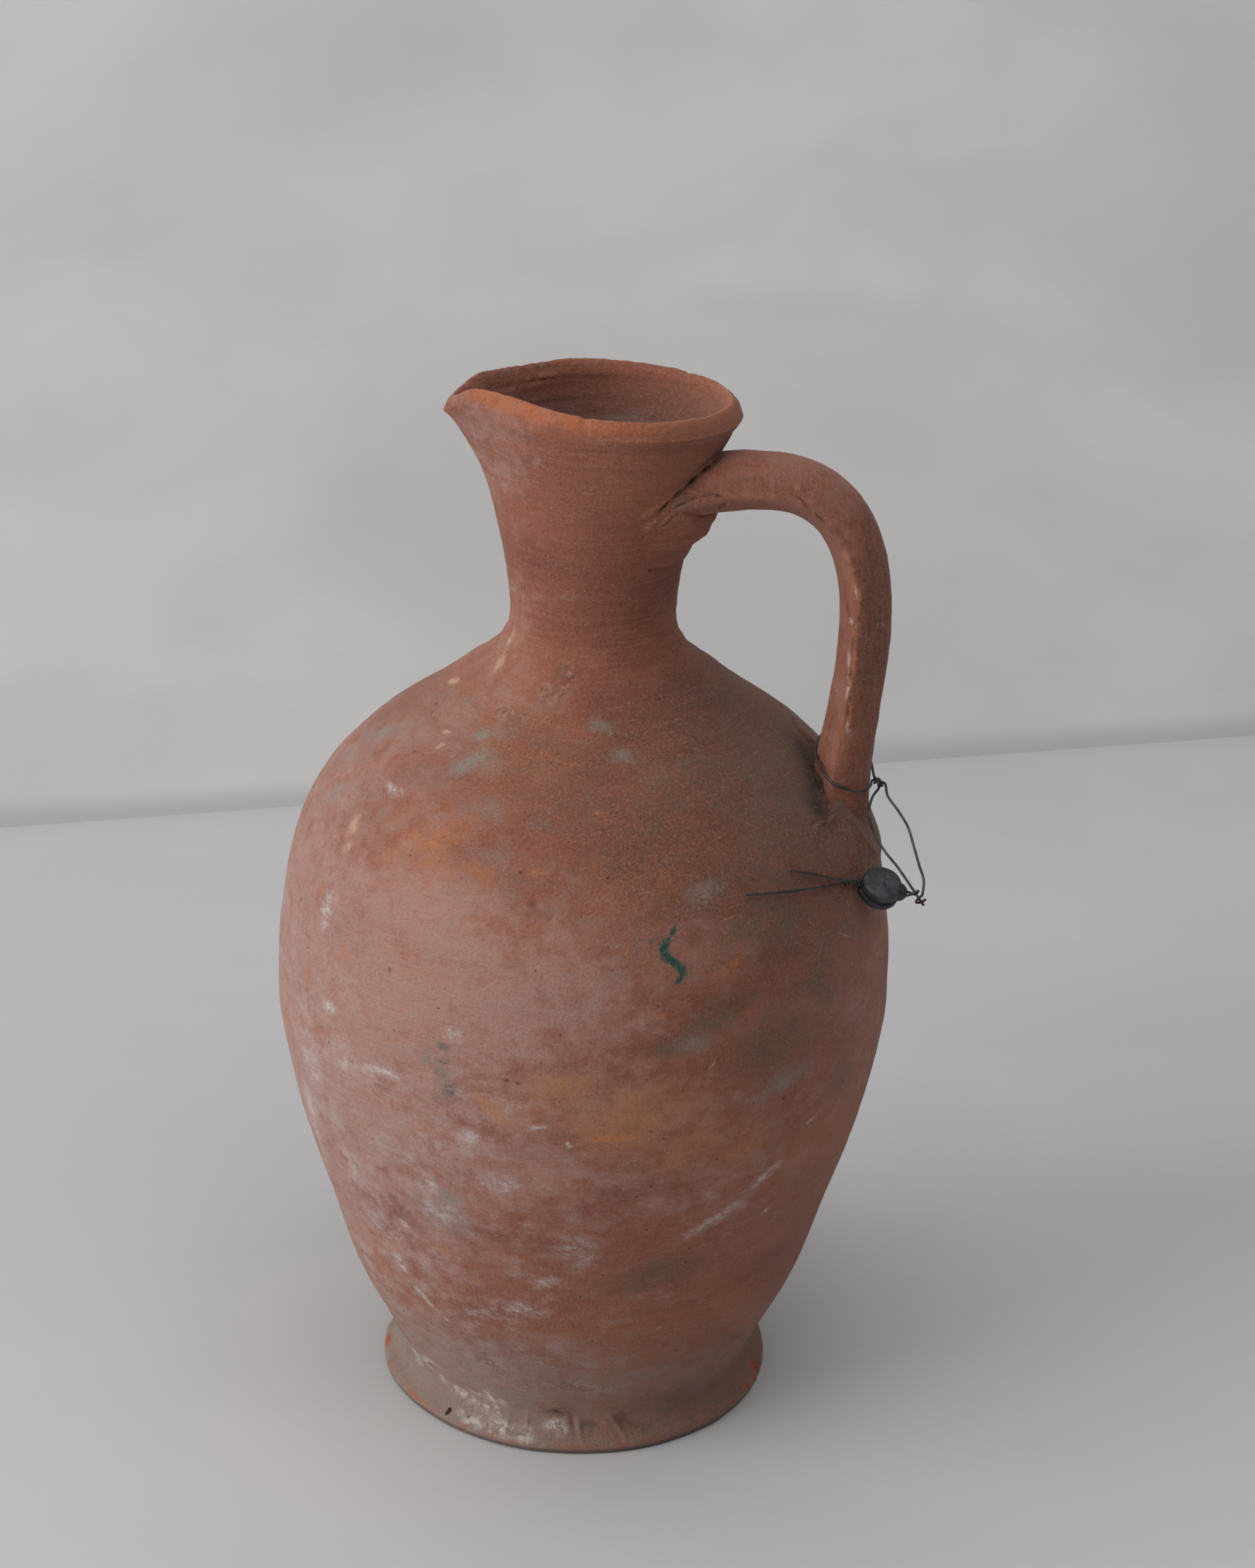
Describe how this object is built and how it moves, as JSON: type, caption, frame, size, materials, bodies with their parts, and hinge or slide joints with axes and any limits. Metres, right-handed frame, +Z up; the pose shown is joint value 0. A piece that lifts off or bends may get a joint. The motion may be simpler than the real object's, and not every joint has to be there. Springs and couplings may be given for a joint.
{
  "type": "earthenware jug",
  "caption": "Round-bellied terracotta pouring jug with a narrow neck, pinched spout, splayed foot and side handle, wired with a lead seal.",
  "frame": {"origin": "centre of the foot's flat underside, on the axis of the wheel", "axes": "+Z up along the jug's axis, -X towards the spout, +X towards the handle"},
  "size_m": [0.1991, 0.193, 0.3328],
  "materials": {
    "clay": "matte unglazed terracotta",
    "iron_wire": "dull annealed wire",
    "lead": "dull grey lead"
  },
  "bodies": {
    "vessel": {"foot": "clay", "body_shell": "clay", "neck_and_spout": "clay", "handle": "clay", "upper_handle_lute": "clay", "lower_handle_lute": "clay"},
    "collar": {"collar_wire": "iron_wire"},
    "pendant": {"pendant_wire": "iron_wire"},
    "seal": {"lead_seal": "lead", "seal_wire": "iron_wire"}
  },
  "joints": [
    {"name": "collar_slide", "type": "slide", "parent": "vessel", "child": "collar", "axis": [0.107, -0.009, 0.9942], "range_m": [0, 0.012]},
    {"name": "pendant_swing", "type": "hinge", "parent": "collar", "child": "pendant", "pos_m": [0.08961, -0.01807, 0.2136], "axis": [-0.1977, -0.9803, 0], "range_deg": [0, 60]},
    {"name": "seal_swing", "type": "hinge", "parent": "pendant", "child": "seal", "pos_m": [0.09937, -0.04095, 0.18819], "axis": [-0.5416, 0.5656, 0.622], "range_deg": [0, 80]}
  ]
}
